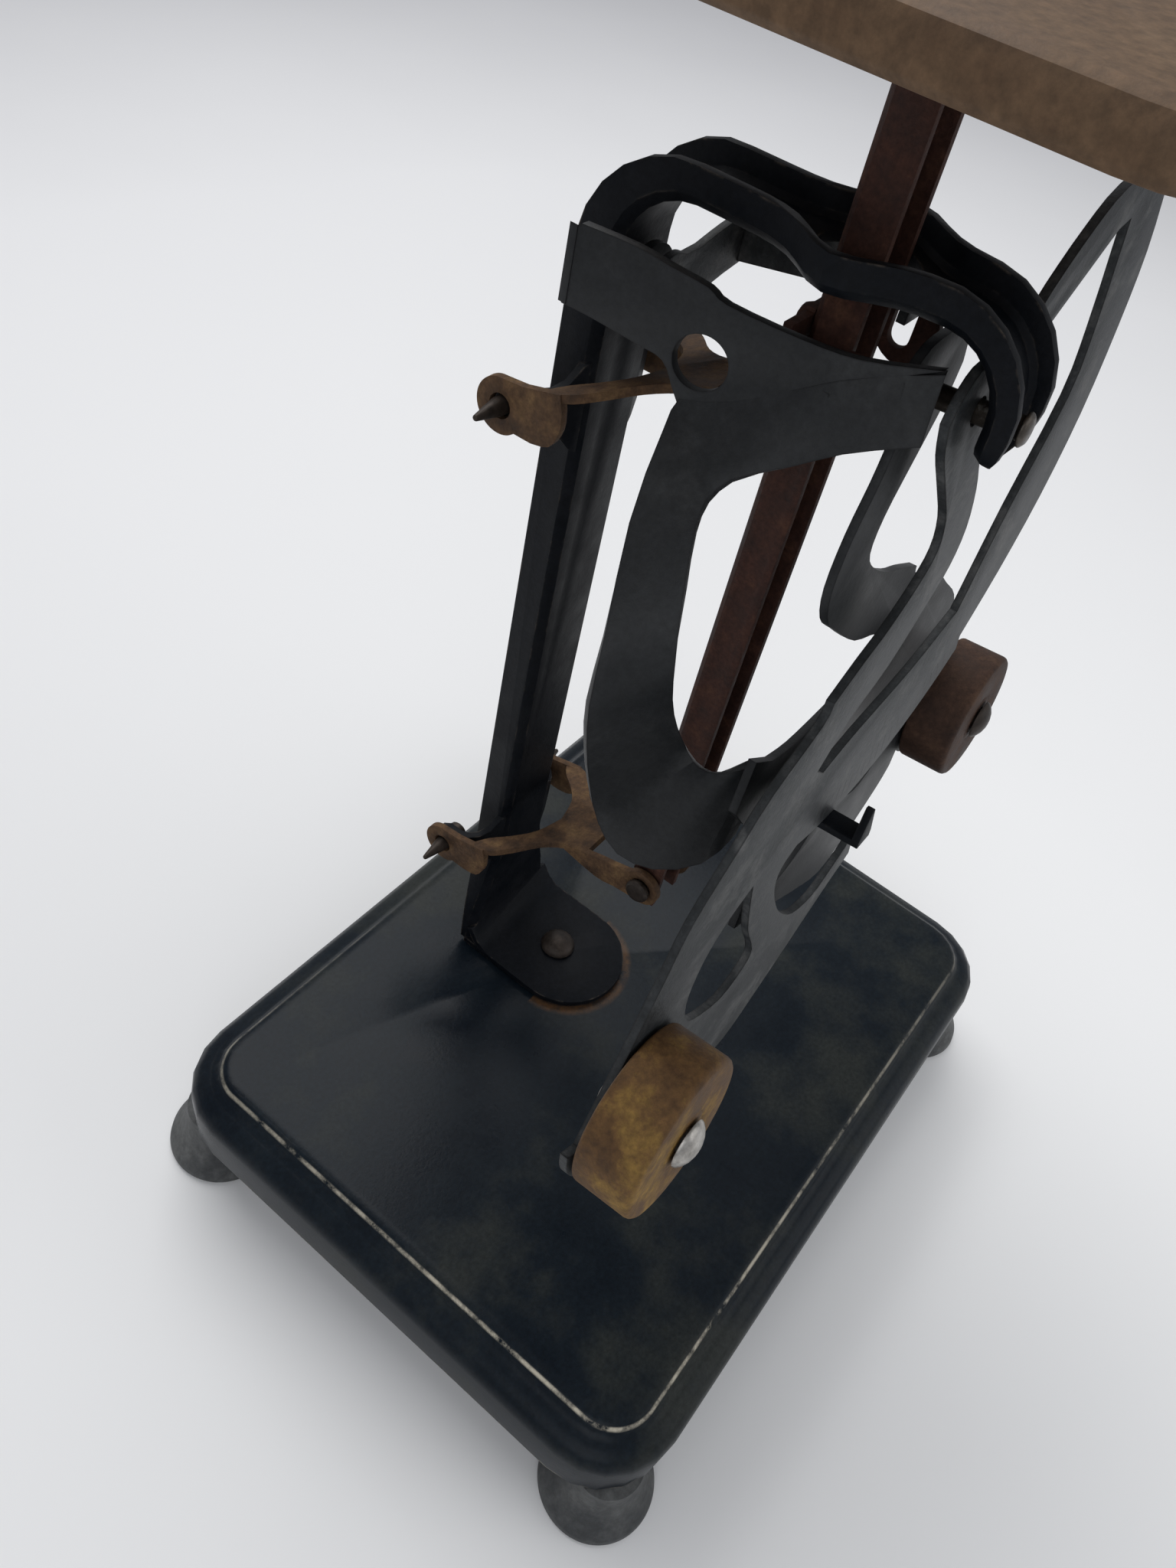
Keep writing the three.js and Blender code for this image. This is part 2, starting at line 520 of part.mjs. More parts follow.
// ---- Pendulum plates ----
const spoke = {
  left: [[-7, 0.9], [-5.4, -2.8], [-1.8, -7.5], [2, -12.7], [2.9, -16.8], [0.3, -19.8], [-5, -22.9], [-9.3, -24.5], [-14.7, -26.8]],
  right: [[-13.3, -37.4], [-8.1, -33.2], [-0.7, -30.1], [5.8, -25.2], [9.5, -21.9], [10.7, -17.5], [9.1, -12.1], [6.3, -7.4], [4.6, -3.6]],
};
const lobe = [
  [[-14.7, -26.8], [-16.1, -29], [-24.6, -32.7], [-30.4, -37.1], [-36.6, -42.2], [-40.4, -48.4], [-47.1, -59], [-51.6, -65.6]],
  arcRun(WEIGHT_RADIUS, 176, 318, 12, -WEIGHT_X, -WEIGHT_DOWN),
  [[-36, -74.6], [-33, -77.5], [-24, -82.5], [-17.4, -84.2], [-9.6, -81.1], [-1, -76.7], [6, -73.1], [11.2, -70.9]],
  [[11.2, -70.9], [10.3, -65.7]],
  [[8.7, -67.4], [5.2, -69.2], [0.6, -70.7], [-5.3, -69], [-10.1, -64.6], [-13.1, -60.3], [-15.5, -55], [-15.4, -51.6], [-12.5, -50]],
];
const triangle = [
  [-22.8, -48.2], [-27.6, -50.1], [-31.2, -53.3], [-33, -58], [-32.5, -62.5], [-29.9, -65.9], [-23, -69.2], [-18.1, -68],
  [-16.9, -65.3], [-20.3, -58.3], [-22, -52], [-22.8, -48.2],
];
const hubHole = arcRun(1.5, 0, 360, 14);
const weightHole = arcRun(1.8, 0, 360, 14, -WEIGHT_X, -WEIGHT_DOWN);

const leftRuns = [
  spoke.left,
  ...lobe,
  arcRun(51.5, 256, 302, 12),
  [[26.8, -41.2], [34, -34.5], [40.5, -26], [44.5, -16], [45.3, -5], [44.2, 4], [40.5, 12]],
  [[40, 16], [24.5, 14.8], [17.4, 12.4], [10.9, 8.7], [6.6, 5.3], [1.9, 4.9], [-2.9, 4.9], [-5.8, 3], [-7, 0.9]],
];
const bigWindow = [
  [[4.6, -0.2], [15.9, 5.1], [27.1, 10.2]],
  [[30.4, 10.6], [33.8, -1.6], [34.2, -10.4], [26.7, -22], [20.6, -34]],
  [[20.6, -34], [9.2, -36.5], [-3.9, -37.7], [-11.3, -39]],
  spoke.right,
];
const leftFlat = leaning(plate(leftRuns, [bigWindow, [hubHole], [triangle], [weightHole]], 0, PLATE));

// Arms and lugs stand in upright planes through plan points a and b; the outline is in y and z.
function upright(runs, holes, yA, xA, yB, xB, thickness) {
  const shape = region(runs, holes);
  const geometry = new THREE.ExtrudeGeometry(shape, { depth: thickness, bevelEnabled: false });
  geometry.translate(0, 0, -thickness / 2);
  geometry.rotateX(Math.PI / 2);
  geometry.rotateZ(Math.PI / 2);
  const slope = (xB - xA) / (yB - yA);
  const spots = geometry.getAttribute("position");
  for (let i = 0; i < spots.count; i += 1) {
    spots.setX(i, spots.getX(i) + xA + slope * (spots.getY(i) - yA));
  }
  return solid(geometry);
}

const farArm = upright([
  [[-11.9, 149], [-8.6, 149], [-2.2, 147.6], [5, 145.6], [12.7, 143.4], [23.2, 140.6]],
  [[23.2, 146.4], [17, 147.6], [12, 149], [8, 150], [3, 150.4], [-3.6, 150.4], [-5.4, 152], [-11.9, 152.6]],
], [], -11, 7.3, 23, 14, PLATE);
function lug(s, front, high, low) {
  const shape = new THREE.Shape(outline([
    arcRun(4, 60, 300, 12, 0, rearAxisZ + 0.3),
    [[5, 137.8], [9, 139.6], [s > 0 ? 14.4 : 15.1, low]],
    [[s > 0 ? 14.4 : 15.1, high], [9, 145.6], [4.6, 144.6]],
  ]));
  const geometry = new THREE.ExtrudeGeometry(shape, { depth: 0.9, bevelEnabled: false });
  geometry.rotateX(Math.PI / 2);
  geometry.translate(0, front + 0.9, 0);
  const made = solid(geometry);
  return s > 0 ? made : made.mirror([1, 0, 0]);
}
const farHook = union(
  box(4.1, 9.3, -1.5, -0.5, 146.8, 148.2),
  box(4.1, 5, -1.5, -0.5, 146.8, 148.9),
);
const leftSheet = union(leftFlat, farArm, lug(1, 22.4, 146.4, 140.6), farHook)
  .subtract(pivotHole)
  .subtract(leaning(along(turned([[0, 30], [1.5, 30], [1.5, 44], [0, 44]], 20), "y")));
add("left_pendulum_sheet", leftSheet, STEEL, 0.8, 0.45);

const hub = [[-6.2, 3.6], [-2.9, 5.4], [2.9, 5.4], [6.2, 3.6], [7, 0.9]];
const rightRuns = [
  mirrored([spoke.left])[0],
  ...mirrored(lobe),
  arcRun(51.5, 284, 266, 5),
  [[-3.6, -51.4], [-8.5, -49.6], [-12.6, -47.4], [-17.6, -46]],
  [[-20.6, -42], [-18.6, -35.6]],
  [[-14.2, -38.4], [-9, -39.6], [-2, -39.8], [4, -39.6], [9, -39], [11.3, -38.6]],
  mirrored([spoke.right])[0],
  [[-7.4, -3], [-7.6, 3.4]],
  hub,
];
const rightFlat = leaning(plate(
  rightRuns, [[hubHole], mirrored([triangle]), mirrored([weightHole])], SECOND_PLATE, PLATE,
));

const nearArm = upright([
  [[24.6, 150.7], [19.4, 150.5], [15.8, 149.9], [11.9, 149.3], [9.8, 148.4], [2.6, 147.9], [-3.1, 148.1], [-10, 149.8]],
  [[-6.6, 147.9], [-1.8, 145.2], [1.7, 142.7], [6.9, 139.4], [10.8, 138], [12.1, 137.5]],
  [[13, 138.9], [14.5, 141.1], [17.4, 141.7], [22.4, 142.5], [25.4, 142.8]],
  [[25.4, 142.8], [25.4, 150]],
], [[arcRun(2.8, 0, 360, 16, 10.9, 142.2)]], -12, -6, 25, -14.5, PLATE);

// The cheek runs from the crease under the near arm, out to the left, and round to the second plate.
const cheekRows = [
  [[-6.3, -10.1, 149.5], [-5.9, -10.4, 142.2]],
  [[-7.1, -7, 148.2], [-6.6, -9, 141.6]],
  [[-8.4, -1.8, 145.5], [-8.8, -4.6, 139.4]],
  [[-9.2, 1.7, 143], [-11.4, -1, 137]],
  [[-10.3, 6.9, 139.7], [-14.4, 3, 134.5]],
  [[-11.5, 12, 137.8], [-16.2, 4, 132.4]],
  [[-14.2, 11.6, 135.4], [-18.2, 3.4, 130.2]],
  [[-20.6, 9.4, 128.6], [-21.6, 1.2, 126.2]],
  [[-28.2, 5.2, 121.4], [-24.2, -1, 120.6]],
  [[-31, 3.7, 115], [-23.6, -1.6, 115]],
  [[-30, 3.4, 108.6], [-21.2, -2, 109.6]],
  [[-27.8, 3, 101], [-19.4, -2.8, 106]],
  [[-26, 1.6, 94.4], [-19.4, -4.8, 104.4]],
  [[-25, -1.6, 90.4], [-19.8, -7, 104.8]],
  [[-23.8, -6, 90.4], [-19.6, -9, 106.4]],
  [[-21.6, -10.4, 93.6], [-17.8, -10.5, 107.6]],
  [[-18.2, -11.6, 97], [-15.4, -10.7, 106.4]],
];
const cheekEdge = (side) =>
  new THREE.CatmullRomCurve3(cheekRows.map((row) => new THREE.Vector3(...row[side])), false, "centripetal");
const outerEdge = cheekEdge(0);
const windowEdge = cheekEdge(1);
const cheekGrid = [];
const cheekSteps = (cheekRows.length - 1) * 2;
for (let i = 0; i <= cheekSteps; i += 1) {
  const o = outerEdge.getPoint(i / cheekSteps);
  const w = windowEdge.getPoint(i / cheekSteps);
  cheekGrid.push([0, 0.25, 0.5, 0.75, 1].map((t) => o.clone().lerp(w, t).toArray()));
}
const cheek = sheet(cheekGrid, PLATE);
const nearHook = union(
  box(-9.3, -4.1, -1.5, -0.5, 142.9, 144.2),
  box(-5, -4.1, -1.5, -0.5, 142.9, 144.9),
);
const rightSheet = union(rightFlat, nearArm, cheek, lug(-1, 24.9, 150.5, 142.9), nearHook)
  .subtract(pivotHole)
  .subtract(rearHole);
add("right_pendulum_sheet", rightSheet, "#2b2f33", 0.7, 0.5);

// ---- Pointer, weights and their rivets ----
const pointerSide = new THREE.Shape(outline([
  [[4.7, -53.6], [4.7, -47.4]], [[3.7, -47.4], [3.7, -52.6]], [[-3.8, -52.6], [-4.8, -52.6]], [[-4.8, -53.6], [4.7, -53.6]],
]));
const pointerBar = new THREE.ExtrudeGeometry(pointerSide, { depth: 3.2, bevelEnabled: false });
pointerBar.rotateX(Math.PI / 2);
pointerBar.rotateZ(Math.PI / 2);
pointerBar.translate(-4.6, 0, 0);
const pointerTip = plate([[[-4.6, -53.6], [-1.4, -53.6]], [[-1.4, -52.4], [-2.7, -48]], [[-3.3, -48], [-4.6, -52.4]]], [], -4.8, PLATE);
add("pointer", union(leaning(pointerBar), leaning(pointerTip)), ENAMEL, 0.6, 0.5);

function weightAt(x, front) {
  const pairs = [
    [1.8, front - WEIGHT_THICKNESS], [WEIGHT_RADIUS - 0.7, front - WEIGHT_THICKNESS], [WEIGHT_RADIUS, front - WEIGHT_THICKNESS + 0.7],
    [WEIGHT_RADIUS, front - 0.6], [WEIGHT_RADIUS - 0.5, front - 0.1], [1.8, front - 0.1], [1.8, front - WEIGHT_THICKNESS],
  ];
  const disc = along(turned(pairs, 40), "y");
  disc.translate(x, -GAP, -WEIGHT_DOWN);
  return leaning(disc);
}
function weightRivet(x, front) {
  const top = front - WEIGHT_THICKNESS - 2 * GAP - 0.1;
  const pairs = [
    [0, top - 1.5], [1.2, top - 1.4], [2.4, top - 0.8], [3, top], [1.5, top], [1.5, front + PLATE + GAP],
    [2.6, front + PLATE + GAP], [2.2, front + PLATE + 1.1], [0, front + PLATE + 1.3],
  ];
  const made = along(turned(pairs, 20), "y");
  made.translate(x, 0, -WEIGHT_DOWN);
  return leaning(made);
}
add("left_weight", weightAt(-WEIGHT_X, 0), "#7d6232", 0.3, 0.8);
add("left_weight_rivet", weightRivet(-WEIGHT_X, 0), "#a9a69c", 0.8, 0.4);
add("right_weight", weightAt(WEIGHT_X, SECOND_PLATE), "#5e4030", 0.3, 0.8);
add("right_weight_rivet", weightRivet(WEIGHT_X, SECOND_PLATE), "#6b5244", 0.8, 0.5);

export default root;
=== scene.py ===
import json
import math

import bmesh
import bpy
from mathutils import Matrix, Vector


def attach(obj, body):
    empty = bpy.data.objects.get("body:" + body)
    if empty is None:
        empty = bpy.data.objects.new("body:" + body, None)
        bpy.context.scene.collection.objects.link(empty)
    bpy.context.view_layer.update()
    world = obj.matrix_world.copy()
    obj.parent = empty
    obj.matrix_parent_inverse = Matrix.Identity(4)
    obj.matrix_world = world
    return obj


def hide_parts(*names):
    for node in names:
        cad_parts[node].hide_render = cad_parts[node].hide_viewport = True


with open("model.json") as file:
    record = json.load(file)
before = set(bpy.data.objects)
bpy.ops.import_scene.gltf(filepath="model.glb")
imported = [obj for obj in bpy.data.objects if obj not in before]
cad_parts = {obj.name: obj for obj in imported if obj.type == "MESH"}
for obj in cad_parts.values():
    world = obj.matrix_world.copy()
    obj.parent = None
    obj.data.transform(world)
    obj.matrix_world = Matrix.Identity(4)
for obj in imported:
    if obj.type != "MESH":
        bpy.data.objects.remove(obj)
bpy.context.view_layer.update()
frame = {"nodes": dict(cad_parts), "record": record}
record = frame["record"]

MM = 0.001

# The pendulums swing in a plane that leans back about this point, in millimetres.
PIVOT = Vector((0, -12.6, 144.6))
LEAN = math.radians(5.71)
LEAN_MATRIX = Matrix.Translation(PIVOT) @ Matrix.Rotation(-LEAN, 4, "X")

# Turned pieces, in millimetres.
FOOT_X = 53
FOOT_Y = 40
WEIGHT_X = 44
WEIGHT_DROP = 65
WEIGHT_THICKNESS = 8
STEPS = 96
FINE_STEPS = 128

# Edges of the finished meshes, in metres and degrees.
SHEET_BEVEL = 0.00012
TURNED_BEVEL = 0.0001
BEVEL_ANGLE = math.radians(38)
SMOOTH_ANGLE = math.radians(35)
MERGE_DISTANCE = 2e-6
FLAT_ANGLE = math.radians(0.6)
BUMP_DEPTH = 0.0002

# The raised panel of the base, in metres: a rectangle grown by a round corner.
PANEL_HALF_X = 0.0483
PANEL_HALF_Y = 0.03405
PANEL_CORNER = 0.0068
# Width of the painted highlight along the panel's raised edge.
PANEL_HIGHLIGHT_WIDTH = 0.0003

# The round end of the foot tongue, in metres.
TONGUE_Y = 0.013
TONGUE_RADIUS = 0.0106
TONGUE_STAIN = 0.0012
TONGUE_STAIN_END = 0.012

# The graduated arc of the front plate, in metres and radians.
ARC_RADIUS = 0.0488
ARC_WIDTH = 0.0018
ARC_START = -0.2
ARC_END = 0.6
TICKS_PER_RADIAN = 28.6
TICK_SHARE = 0.16

# ---------------------------------------------------------------- materials


class Finish:
    """One procedural material and the nodes that it is made of."""

    def __init__(self, name):
        self.material = bpy.data.materials.new(name)
        self.material.use_nodes = True
        self.nodes = self.material.node_tree.nodes
        self.links = self.material.node_tree.links
        self.shader = self.nodes["Principled BSDF"]

    def noise(self, scale, detail, rough, seed=0.0):
        """Cloudy noise in the object's own space."""
        coords = self.nodes.new("ShaderNodeTexCoord")
        mapping = self.nodes.new("ShaderNodeMapping")
        mapping.inputs["Location"].default_value = (seed, seed * 0.7, seed * 1.3)
        self.links.new(coords.outputs["Object"], mapping.inputs["Vector"])
        node = self.nodes.new("ShaderNodeTexNoise")
        node.inputs["Scale"].default_value = scale
        node.inputs["Detail"].default_value = detail
        node.inputs["Roughness"].default_value = rough
        self.links.new(mapping.outputs["Vector"], node.inputs["Vector"])
        return node.outputs["Fac"]

    def ramp(self, source, stops):
        """Colours by value: each stop is a place and a colour."""
        node = self.nodes.new("ShaderNodeValToRGB")
        elements = node.color_ramp.elements
        while len(elements) < len(stops):
            elements.new(0.5)
        for element, (place, colour) in zip(elements, stops):
            element.position = place
            element.color = (*colour, 1)
        self.links.new(source, node.inputs["Fac"])
        return node.outputs["Color"]

    def spread(self, value, low, high, to_low=0.0, to_high=1.0):
        """Maps low..high onto to_low..to_high, and stops at both ends."""
        node = self.nodes.new("ShaderNodeMapRange")
        node.inputs["From Min"].default_value = low
        node.inputs["From Max"].default_value = high
        node.inputs["To Min"].default_value = to_low
        node.inputs["To Max"].default_value = to_high
        self.links.new(value, node.inputs["Value"])
        return node.outputs["Result"]

    def math(self, operation, first, second=0.0):
        """One step of arithmetic on numbers and sockets."""
        node = self.nodes.new("ShaderNodeMath")
        node.operation = operation
        for socket, value in zip(node.inputs, (first, second)):
            if isinstance(value, (int, float)):
                socket.default_value = value
            else:
                self.links.new(value, socket)
        return node.outputs["Value"]

    def length(self, first, second):
        """The length of a flat vector."""
        squares = self.math("ADD", self.math("MULTIPLY", first, first), self.math("MULTIPLY", second, second))
        return self.math("SQRT", squares)

    def band(self, value, width):
        """1 where value is 0, falling to 0 at a distance of width."""
        return self.spread(self.math("ABSOLUTE", value), width, width * 0.35)

    def place(self):
        """The point's X, Y and Z in the object's own space, in metres."""
        coords = self.nodes.new("ShaderNodeTexCoord")
        split = self.nodes.new("ShaderNodeSeparateXYZ")
        self.links.new(coords.outputs["Object"], split.inputs["Vector"])
        return split.outputs["X"], split.outputs["Y"], split.outputs["Z"]

    def mixed(self, factor, first, second):
        """first where factor is 0 and the colour second where it is 1."""
        node = self.nodes.new("ShaderNodeMix")
        node.data_type = "RGBA"
        self.links.new(factor, node.inputs[0])
        self.links.new(first, node.inputs[6])
        node.inputs[7].default_value = (*second, 1)
        return node.outputs[2]

    def edge_wear(self, radius, low, high):
        """Bright in patches where an edge turns: there the rounded normal leaves the true one."""
        bevel = self.nodes.new("ShaderNodeBevel")
        bevel.samples = 6
        bevel.inputs["Radius"].default_value = radius
        geometry = self.nodes.new("ShaderNodeNewGeometry")
        dot = self.nodes.new("ShaderNodeVectorMath")
        dot.operation = "DOT_PRODUCT"
        self.links.new(bevel.outputs["Normal"], dot.inputs[0])
        self.links.new(geometry.outputs["Normal"], dot.inputs[1])
        turning = self.spread(dot.outputs["Value"], 1.0, 0.9)
        patches = self.spread(self.noise(260, 5, 0.7), low, high)
        return self.math("MULTIPLY", turning, patches)

    def scaled(self, colour, factor):
        """The colour made lighter or darker."""
        node = self.nodes.new("ShaderNodeVectorMath")
        node.operation = "SCALE"
        self.links.new(colour, node.inputs[0])
        self.links.new(factor, node.inputs["Scale"])
        return node.outputs["Vector"]

    def bumped(self, height, strength):
        """Fine relief on the surface."""
        bump = self.nodes.new("ShaderNodeBump")
        bump.inputs["Strength"].default_value = strength
        bump.inputs["Distance"].default_value = BUMP_DEPTH
        self.links.new(height, bump.inputs["Height"])
        self.links.new(bump.outputs["Normal"], self.shader.inputs["Normal"])

    def overlay(self, mask, colour):
        """Lays another colour over what the finish already has."""
        old = self.shader.inputs["Base Color"].links[0].from_socket
        self.links.new(self.mixed(mask, old, colour), self.shader.inputs["Base Color"])


def metal(name, stops, rough, metallic=0.0, wear=None, patch=90, grain=900, bump=0.25, seed=0.0, shine=0.4):
    """Aged sheet or cast metal: broad patches of colour, fine specks, and worn edges.

    patch and grain are noise scales, rough is the range of roughness, and wear is the
    colour of worn edges, the noise range where they show, and the width of the edge.
    """
    finish = Finish(name)
    broad = finish.noise(patch, 6, 0.65, seed)
    fine = finish.noise(grain, 4, 0.7, seed + 2)
    specks = finish.spread(fine, 0.35, 0.75, 0.72, 1.25)
    colour = finish.scaled(finish.ramp(broad, stops), specks)
    if wear:
        worn_colour, low, high, width = wear
        colour = finish.mixed(finish.edge_wear(width, low, high), colour, worn_colour)
    shader = finish.shader
    finish.links.new(colour, shader.inputs["Base Color"])
    finish.links.new(finish.spread(broad, 0.3, 0.7, *rough), shader.inputs["Roughness"])
    shader.inputs["Metallic"].default_value = metallic
    shader.inputs["Specular IOR Level"].default_value = shine
    finish.bumped(fine, bump)
    return finish


FINISHES = {
    "base_enamel": dict(
        stops=[
            (0.34, (0.0035, 0.0065, 0.011)), (0.5, (0.007, 0.0115, 0.0165)), (0.64, (0.024, 0.0275, 0.026))],
        # The base's light edge colour is partly worn enamel and partly painted highlight on its turning
        # edges.
        wear=((0.42, 0.38, 0.3), 0.52, 0.62, 0.0009),
        rough=(0.22, 0.42), patch=34, grain=1400, bump=0.12, shine=0.13),
    "feet_iron": dict(
        stops=[(0.35, (0.045, 0.048, 0.05)), (0.65, (0.12, 0.122, 0.12))],
        rough=(0.5, 0.7), patch=120, bump=0.3, shine=0.3),
    "stand_enamel": dict(
        stops=[(0.3, (0.002, 0.0035, 0.006)), (0.7, (0.009, 0.01, 0.0125))],
        wear=((0.09, 0.075, 0.06), 0.5, 0.66, 0.0004),
        rough=(0.42, 0.62), patch=150, grain=1300, bump=0.2, seed=3, shine=0.12),
    "dark_pins": dict(
        stops=[(0.3, (0.02, 0.016, 0.013)), (0.7, (0.06, 0.045, 0.036))],
        rough=(0.4, 0.6), metallic=0.5, patch=400, seed=5),
    "pivot_steel": dict(
        stops=[(0.3, (0.03, 0.026, 0.022)), (0.62, (0.1, 0.085, 0.07)), (0.75, (0.5, 0.48, 0.44))],
        rough=(0.3, 0.5), metallic=0.7, patch=300, seed=6),
    "link_rust": dict(
        stops=[(0.3, (0.03, 0.017, 0.01)), (0.5, (0.1, 0.055, 0.028)), (0.7, (0.2, 0.12, 0.055))],
        rough=(0.65, 0.9), patch=220, grain=1500, bump=0.7, seed=7, shine=0.25),
    "rod_rust": dict(
        stops=[(0.3, (0.028, 0.012, 0.009)), (0.55, (0.062, 0.026, 0.018)), (0.75, (0.11, 0.05, 0.03))],
        rough=(0.6, 0.85), patch=260, grain=1600, bump=0.6, seed=8, shine=0.25),
    "tray_tan": dict(
        stops=[(0.3, (0.095, 0.052, 0.027)), (0.55, (0.145, 0.088, 0.048)), (0.75, (0.2, 0.13, 0.077))],
        rough=(0.5, 0.7), metallic=0.15, patch=60, bump=0.2, seed=9, shine=0.3),
    "pendulum_front": dict(
        stops=[
            (0.3, (0.014, 0.0165, 0.018)), (0.52, (0.036, 0.0395, 0.0415)), (0.68, (0.105, 0.106, 0.104))],
        wear=((0.01, 0.01, 0.01), 0.25, 0.45, 0.00035),
        rough=(0.45, 0.62), metallic=0.2, patch=160, grain=1500, bump=0.45, seed=10, shine=0.35),
    "pendulum_back": dict(
        stops=[(0.3, (0.008, 0.0095, 0.011)), (0.55, (0.017, 0.0185, 0.02)), (0.78, (0.04, 0.042, 0.043))],
        wear=((0.004, 0.004, 0.005), 0.25, 0.45, 0.00035),
        rough=(0.42, 0.6), metallic=0.1, patch=80, grain=1200, seed=11, shine=0.35),
    "left_weight_brass": dict(
        stops=[(0.3, (0.055, 0.025, 0.01)), (0.5, (0.135, 0.07, 0.024)), (0.68, (0.3, 0.18, 0.045))],
        rough=(0.55, 0.8), metallic=0.1, patch=170, grain=1300, bump=0.5, seed=12, shine=0.3),
    "right_weight_rust": dict(
        stops=[(0.3, (0.026, 0.013, 0.009)), (0.55, (0.06, 0.032, 0.021)), (0.75, (0.11, 0.062, 0.038))],
        rough=(0.6, 0.85), metallic=0.1, patch=170, grain=1300, bump=0.5, seed=13, shine=0.25),
    "rivet_bright": dict(
        stops=[(0.3, (0.3, 0.28, 0.25)), (0.7, (0.55, 0.53, 0.5))],
        rough=(0.25, 0.45), metallic=0.9, patch=500, bump=0.1, seed=14),
}
finishes = {name: metal(name, **look) for name, look in FINISHES.items()}


def highlight_and_stain_the_base(base):
    """A painted highlight in patches along the front-left of the panel's raised edge, and a thin rust stain
    round the tongue.
    """
    x, y, _ = base.place()
    across = base.math("MAXIMUM", base.math("SUBTRACT", base.math("ABSOLUTE", x), PANEL_HALF_X), 0.0)
    deep = base.math("MAXIMUM", base.math("SUBTRACT", base.math("ABSOLUTE", y), PANEL_HALF_Y), 0.0)
    highlight_band = base.band(base.math("SUBTRACT", base.length(across, deep), PANEL_CORNER), PANEL_HIGHLIGHT_WIDTH)
    patchy = base.spread(base.noise(190, 6, 0.75, 20), 0.38, 0.56)
    front_left = base.spread(base.math("ADD", x, y), 0.03, -0.07)
    # Painted highlight: a light line on the panel's edge, only on its front-left side, which faces the side
    # lamp.
    painted_highlight = base.math("MULTIPLY", base.math("MULTIPLY", highlight_band, patchy), front_left)
    base.overlay(painted_highlight, (0.5, 0.46, 0.37))

    from_tongue = base.length(x, base.math("SUBTRACT", y, TONGUE_Y))
    ring = base.band(base.math("SUBTRACT", from_tongue, TONGUE_RADIUS), TONGUE_STAIN)
    stain = base.math("MULTIPLY", ring, patchy)
    before_end = base.math("LESS_THAN", y, TONGUE_STAIN_END)
    base.overlay(base.math("MULTIPLY", stain, before_end), (0.085, 0.045, 0.022))


def graduate(plate):
    """Engraved lines along the arc of the front plate."""
    x, _, z = plate.place()
    low = plate.math("DIVIDE", plate.math("SUBTRACT", PIVOT.z * MM, z), math.cos(LEAN))
    angle = plate.math("ARCTAN2", x, low)
    step = plate.math("FRACT", plate.math("MULTIPLY", angle, TICKS_PER_RADIAN))
    tick = plate.math("LESS_THAN", step, TICK_SHARE)
    after_start = plate.math("GREATER_THAN", angle, ARC_START)
    before_end = plate.math("LESS_THAN", angle, ARC_END)
    rim = plate.band(plate.math("SUBTRACT", plate.length(x, low), ARC_RADIUS), ARC_WIDTH)
    on_rim = plate.math("GREATER_THAN", rim, 0.2)
    on_arc = plate.math("MULTIPLY", plate.math("MULTIPLY", after_start, before_end), on_rim)
    plate.overlay(plate.math("MULTIPLY", tick, on_arc), (0.012, 0.01, 0.01))


highlight_and_stain_the_base(finishes["base_enamel"])
graduate(finishes["pendulum_front"])

slot_of = {part["node"]: part["material_slot"] for part in record["subparts"]}
body_of = {node: body for body, nodes in record["behaviour"]["bodies"].items() for node in nodes}

# ---------------------------------------------------------------- meshes


def shown(name, data):
    """A new object in the scene."""
    obj = bpy.data.objects.new(name, data)
    bpy.context.scene.collection.objects.link(obj)
    return obj


def settle(obj, node, bevel):
    """Gives a mesh its rounded edges, finish, body and slot, in the place of a CAD node."""
    for polygon in obj.data.polygons:
        polygon.use_smooth = True
    soft = obj.modifiers.new("bevel", "BEVEL")
    soft.width = bevel
    soft.segments = 2
    soft.limit_method = "ANGLE"
    soft.angle_limit = BEVEL_ANGLE
    soft.use_clamp_overlap = True
    bpy.context.view_layer.objects.active = obj
    for other in bpy.context.selected_objects:
        other.select_set(False)
    obj.select_set(True)
    bpy.ops.object.modifier_apply(modifier=soft.name)
    bpy.ops.object.shade_smooth_by_angle(angle=SMOOTH_ANGLE)
    obj.data.materials.clear()
    obj.data.materials.append(finishes[slot_of[node]].material)
    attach(obj, body_of[node])
    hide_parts(node)


def copied(node):
    """The CAD node's own shape, with its flat faces joined and its edges rounded."""
    mesh = frame["nodes"][node].data.copy()
    mesh.materials.clear()
    work = bmesh.new()
    work.from_mesh(mesh)
    bmesh.ops.remove_doubles(work, verts=work.verts, dist=MERGE_DISTANCE)
    bmesh.ops.dissolve_limit(work, angle_limit=FLAT_ANGLE, verts=work.verts, edges=work.edges)
    work.to_mesh(mesh)
    work.free()
    for name in [a.name for a in mesh.attributes if a.name.startswith("custom_normal")]:
        mesh.attributes.remove(mesh.attributes[name])
    settle(shown("look_" + node, mesh), node, SHEET_BEVEL)


